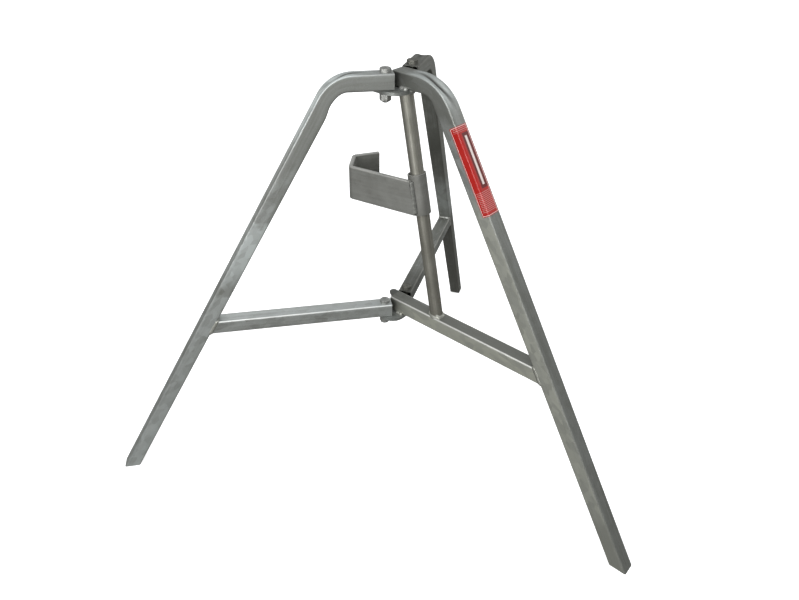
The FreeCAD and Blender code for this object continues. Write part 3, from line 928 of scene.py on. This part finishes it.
def strap_path(loop_out, loop_height):
    """Stations of the strap as plan points for each point of its section (out from the middle of its
    thickness, height above the floor): flat, bend, flat, bend, flat. The first flat starts on the
    sleeve's leaning middle plane, with close rows beside the sleeve. Returns the plan points and the
    length along the strap."""
    middle = STRAP_INNER + STRAP_THICK / 2
    bend = STRAP_BEND + STRAP_THICK / 2
    first = strap_tilt - math.pi / 2
    inside = middle - bend
    reach = inside * math.tan(STRAP_TURN / 2)
    out = middle + loop_out
    plane_x = sleeve[0] - seat[0] + (sleeve[2] - loop_height) * math.tan(BAR_LEAN)
    start = (plane_x - math.sin(strap_tilt) * out) / math.cos(strap_tilt)
    beside = np.linspace(0, STRAP_BY_SLEEVE, STRAP_ROWS)
    share = np.concatenate([beside, np.linspace(STRAP_BY_SLEEVE, 1, STRAP_ROWS)[1:]])[:, None]
    flat_share = np.linspace(0, 1, STRAP_FLAT_ROWS)[1:, None]
    rows = [strap_line(first, out, start + share * (-reach - start))]
    for number, end in enumerate((-reach, -STRAP_END)):
        flat = first - number * STRAP_TURN
        heart = strap_line(flat, inside, -reach)
        angle = flat - np.linspace(0, STRAP_TURN, STRAP_ROWS)[1:, None]
        rows.append(heart + (bend + loop_out)[..., None] * np.stack([np.cos(angle), np.sin(angle)], -1))
        rows.append(strap_line(flat - STRAP_TURN, out, reach + flat_share * (end - reach)))
    rows = np.concatenate(rows)
    return rows, length_along(rows[:, 0])


flat_out, flat_up, round_out, round_up = around_tube(*STRAP_LOOP).T
loop_out = flat_out * (STRAP_THICK / 2 - STRAP_EDGE) + round_out * STRAP_EDGE
loop_high = flat_up * (STRAP_HIGH / 2 - STRAP_EDGE) + round_up * STRAP_EDGE
plan, along = strap_path(loop_out, STRAP_LEVEL + loop_high)
closing, _ = strap_path(0 * loop_out, STRAP_LEVEL + loop_high)
plan = np.concatenate([closing[:1], plan, closing[-1:]])
along = np.concatenate([along[:1], along, along[-1:]])
points = as_points(seat[0] + plan[..., 0], seat[1] + plan[..., 1], STRAP_LEVEL + loop_high)
from_axis = points - sleeve
up_share, out_share, side_share = from_axis @ up_bar, from_axis @ out_bar, from_axis[..., 1]
reach = np.hypot(out_share, side_share)
clear = np.maximum(1, (SLEEVE_RADIUS + STRAP_GAP) / np.maximum(reach, 1e-6))
coped = leaning(out_share * clear, side_share * clear, up_share)
points = np.where((reach < 2 * SLEEVE_RADIUS)[..., None], coped, points)
on_rim = np.abs(loop_high) / (STRAP_HIGH / 2) > STRAP_RIM
places = as_points(along[:, None], loop_high, on_rim * np.where(loop_high > 0, 1, STRAP_LOW_RIM))
faces = grid_faces(len(points), len(loop_high), False)
piece = make_piece("hooked_strap", points, faces, dull_clamp("strap_zinc", 0.9, 0.0), places=places)
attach(piece, "clamp_strap")
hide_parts("clamp_strap")

seam = np.linspace(*SEAM_ENDS, SEAM_ROWS)
clamp_bead_zinc = weld_zinc("clamp_bead_zinc", CLAMP_SEAM, CLAMP_SEAM_DARK)
on_sleeve = 0.0052 * out_bar + 0.0006 * sideways
on_strap = -0.0056 * sideways
swell = 0.0006 * out_bar - 0.0005 * sideways
bead = weld_bead(leaning(0, -SLEEVE_RADIUS, seam), on_sleeve, on_strap, swell, False, END_BEAD_SCALY)
add_bead("strap_end_bead", bead, "clamp_strap", clamp_bead_zinc)

bite_turn = math.acos(1 - STRAP_BITE / SLEEVE_RADIUS) - strap_tilt
root = leaning(-SLEEVE_RADIUS * math.sin(bite_turn), -SLEEVE_RADIUS * math.cos(bite_turn), seam)
on_strap = -0.0045 * out_bar
on_sleeve = -0.0030 * out_bar + 0.0034 * sideways
swell = -0.0008 * out_bar + 0.0006 * sideways
bead = weld_bead(root, on_strap, on_sleeve, swell, False)
add_bead("strap_inner_bead", bead, "clamp_strap", clamp_bead_zinc)


# Label: a printed vinyl label wrapped round the outer corner of the fixed leg below its bend. Plain
# red with a pale stripe and ruled lines, no words; the vinyl is glossy, faded and scuffed at the corner.
LABEL_START = 0.075
LABEL_END = 0.242
LABEL_LONG = LABEL_END - LABEL_START
LABEL_ON_SIDE = 0.0155
LABEL_MARGIN = 0.0035
LABEL_THICK = 0.00025
LABEL_SINK = 0.0001
LABEL_ROWS = 30
LABEL_ACROSS = (8, 9, 10)
LABEL_RED = (0.42, 0.010, 0.007, 1)
LABEL_FADED = (0.48, 0.025, 0.018, 1)
LABEL_DEEP = (0.13, 0.008, 0.007, 1)
LABEL_PALE = (0.86, 0.76, 0.72, 1)
PRINT_EDGE = 0.0004
BAND_WIDE = (0.52, 0.94)
BAND_LONG = (0.014, LABEL_LONG - 0.050)
STRIPE_WIDE = (0.65, 0.79)
STRIPE_LONG = (0.020, LABEL_LONG - 0.056)
BORDER = (0.0012, 0.0021, 0.0002)
RULED_WIDE = (0.12, 0.92)
RULED_HIGH = (0.004, 0.011)
RULED_LOW = (LABEL_LONG - 0.045, LABEL_LONG - 0.006)
RULE_PITCH = 0.0032
RULE_LINE = (0.30, 0.62, 0.08)
SCUFFS = (40.0, 220.0, 1.0)


def label_shell(leg):
    """Thin sheet on the near side and the outer wall of a straight leg, closed round its edges.

    Across, it runs up the side face, round the corner's arc and over the outer wall; a point is the
    tube's surface moved along its normal by the sheet's thickness. Along, it follows the slope."""
    half, slope = leg["half"], leg["slope"]
    flat = half - TUBE_CORNER
    side_points, corner_points, wall_points = LABEL_ACROSS
    up_side = np.linspace(half - LABEL_ON_SIDE, flat, side_points)
    turn = np.linspace(0, math.pi / 2, corner_points)[1:-1]
    over_wall = np.linspace(-flat, half - LABEL_MARGIN, wall_points)
    normal_side = np.concatenate([np.full(side_points, -1.0), -np.cos(turn), np.zeros(wall_points)])
    normal_lift = np.concatenate([np.zeros(side_points), np.sin(turn), np.ones(wall_points)])
    side = np.concatenate([np.full(side_points, -half), -flat - TUBE_CORNER * np.cos(turn), over_wall])
    lift = np.concatenate([up_side, flat + TUBE_CORNER * np.sin(turn), np.full(wall_points, half)])
    width = length_along(np.stack([side, lift], -1))
    side = np.concatenate([side + LABEL_THICK * normal_side, (side - LABEL_SINK * normal_side)[::-1]])
    lift = np.concatenate([lift + LABEL_THICK * normal_lift, (lift - LABEL_SINK * normal_lift)[::-1]])
    width = np.concatenate([width, width[::-1]])
    outside = np.arange(len(width)) < len(width) / 2
    along = np.linspace(LABEL_START, LABEL_END, LABEL_ROWS)[:, None]
    along = np.concatenate([along[:1], along, along[-1:]])
    closing = np.zeros(along.shape, bool)
    closing[[0, -1]] = True
    side = np.where(closing & outside, side[::-1], side)
    lift = np.where(closing & outside, lift[::-1], lift)
    run = leg["arm"] + along * math.cos(slope) + lift * math.sin(slope)
    height = ARM_UNDER + half - along * math.sin(slope) + lift * math.cos(slope)
    places = as_points(along - LABEL_START, width, 0)
    return as_points(run, side, height), places, grid_faces(len(along), len(width), False)


def label_vinyl(name, wide):
    """Red vinyl: a deep red band with a pale stripe in it along the outer wall, a pale border, fine
    ruled lines at both ends, fading and scuffs."""
    material, shader, base = new_finish(name)
    place = base.unbent()
    along, across, _ = place.parts()
    share = across / wide
    cloud = place.cloud(30.0, 5.0, 0.6)
    scuff = place.streaks(SCUFFS).step(0.60, 0.72)

    def printed(wide_span, long_span):
        """A printed box, given as shares of the width and lengths along the label."""
        return share.between(*wide_span, PRINT_EDGE / wide) * along.between(*long_span, PRINT_EDGE)

    inset = across.least(wide - across).least(along).least(LABEL_LONG - along)
    lines = (along / RULE_PITCH).fraction().between(*RULE_LINE)
    ruled = lines * printed(RULED_WIDE, RULED_LOW).most(printed(RULED_WIDE, RULED_HIGH))
    pale = printed(STRIPE_WIDE, STRIPE_LONG).most(inset.between(*BORDER)).most(ruled * 0.36)
    red = (cloud * 0.9 + scuff * 0.3).step(0.2, 0.9).blend(LABEL_RED, LABEL_FADED)
    red = printed(BAND_WIDE, BAND_LONG).blend(red, LABEL_DEEP)
    (pale * (0.95 - scuff * 0.5)).blend(red, LABEL_PALE).feed(shader, "Base Color")
    (0.30 + cloud * 0.12 + scuff * 0.25).feed(shader, "Roughness")
    (cloud + scuff).raise_surface(shader, 0.10, 0.0005)
    return material


points, places, faces = label_shell(LEGS["main"])
vinyl = label_vinyl("red_vinyl", places[..., 1].max())
label = make_piece("leg_label", stand(points, LEGS["main"]), faces, vinyl, sharp=60.0, places=places)
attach(label, "frame")


# Studio: a pale floor that sweeps up all round into a backdrop, soft lamps overhead, in front and
# behind, and an even sky that is dark below the horizon. The camera stands at the photograph's place.
FLOOR_FLAT = 9.0
FLOOR_RIM = 8.0
FLOOR_TURNS = 96
FLOOR_ROWS = 9
RIM_ROWS = 25
FLOOR_TINT = (0.92, 0.92, 0.92, 1)
FLOOR_NEAR = (0.6, 0.6, 0.6, 1)
FLOOR_FAR = (1, 1, 1, 1)
turns = full_turn(FLOOR_TURNS)
rise = np.linspace(0, math.pi / 2, RIM_ROWS)
flat = np.linspace(0, FLOOR_FLAT, FLOOR_ROWS + 1)[:-1]
reach = np.concatenate([flat, FLOOR_FLAT + FLOOR_RIM * np.sin(rise)])[:, None]
height = np.concatenate([0 * flat, FLOOR_RIM * (1 - np.cos(rise))])[:, None]
points = as_points(reach * np.cos(turns), reach * np.sin(turns), height)
floor_paint, floor_shader, base = new_finish("floor_paint")
x, y, _ = base.in_frame().parts()
away = (x * x + y * y).step(1.0, 16.0)
away.blend(FLOOR_NEAR, FLOOR_FAR).feed(floor_shader, "Emission Color")
floor_shader.inputs["Base Color"].default_value = FLOOR_TINT
floor_shader.inputs["Roughness"].default_value = 0.9
floor_shader.inputs["Emission Strength"].default_value = 1.0
floor = make_piece("floor", points, grid_faces(len(points), FLOOR_TURNS, False), floor_paint)
floor.visible_glossy = False
floor.visible_diffuse = False

SKY_HIGH = (0.60, 0.61, 0.62, 1)
SKY_LEVEL = (0.33, 0.335, 0.335, 1)
SKY_LOW = (0.15, 0.15, 0.14, 1)
world = bpy.data.worlds.new("studio")
bpy.context.scene.world = world
world.use_nodes = True
background = world.node_tree.nodes["Background"]
sky = Shade(world.node_tree).node("ShaderNodeTexCoord", {}, {}, out=0).parts()[2]
sky_tint = sky.step(0.3, 0.8).blend(sky.step(-0.45, 0.25).blend(SKY_LOW, SKY_LEVEL), SKY_HIGH)
sky_tint.feed(background, "Color")
background.inputs["Strength"].default_value = 1.0


def soft_lamp(name, place, target, size, power):
    """Square soft lamp that faces a point."""
    lamp = bpy.data.lights.new(name, "AREA")
    lamp.shape = "SQUARE"
    lamp.size = size
    lamp.energy = power
    made = bpy.data.objects.new(name, lamp)
    bpy.context.scene.collection.objects.link(made)
    made.location = place
    back = np.array(place, float) - target
    made.rotation_euler = (math.atan2(math.hypot(back[0], back[1]), back[2]), 0,
                           math.atan2(back[1], back[0]) + math.pi / 2)


soft_lamp("overhead_lamp", (0.9, -1.1, 3.0), (0.0, 0.0, 0.4), 2.0, 26)
soft_lamp("key_lamp", (0.7, -2.5, 1.0), (0.0, 0.0, 0.3), 1.2, 40)
soft_lamp("side_lamp", (2.3, -1.3, 0.7), (0.0, -0.2, 0.3), 1.2, 5)
soft_lamp("back_lamp", (0.6, 2.8, 1.3), (0.0, 0.0, 0.4), 1.6, 22)
soft_lamp("seat_lamp", (-2.7, 0.8, 1.2), (0.0, 0.0, 0.4), 2.4, 14)

CAMERA_RIGHT = [0.759829, 0.649943, 0.015306]
CAMERA_UP = [-0.381947, 0.427224, 0.819509]
CAMERA_BACK = [0.526095, -0.628533, 0.572861]
camera_data = bpy.data.cameras.new("camera")
camera_data.sensor_width = 36.0
camera_data.lens = 29.583
camera = bpy.data.objects.new("camera", camera_data)
bpy.context.scene.collection.objects.link(camera)
turned = np.eye(4)
turned[:3, :3] = np.stack([CAMERA_RIGHT, CAMERA_UP, CAMERA_BACK], -1)
turned[:3, 3] = [seat[0] + 0.845186, seat[1] - 0.920808, 1.22476]
camera.matrix_world = Matrix(turned.tolist())
bpy.context.scene.camera = camera
bpy.context.scene.view_settings.view_transform = "Standard"
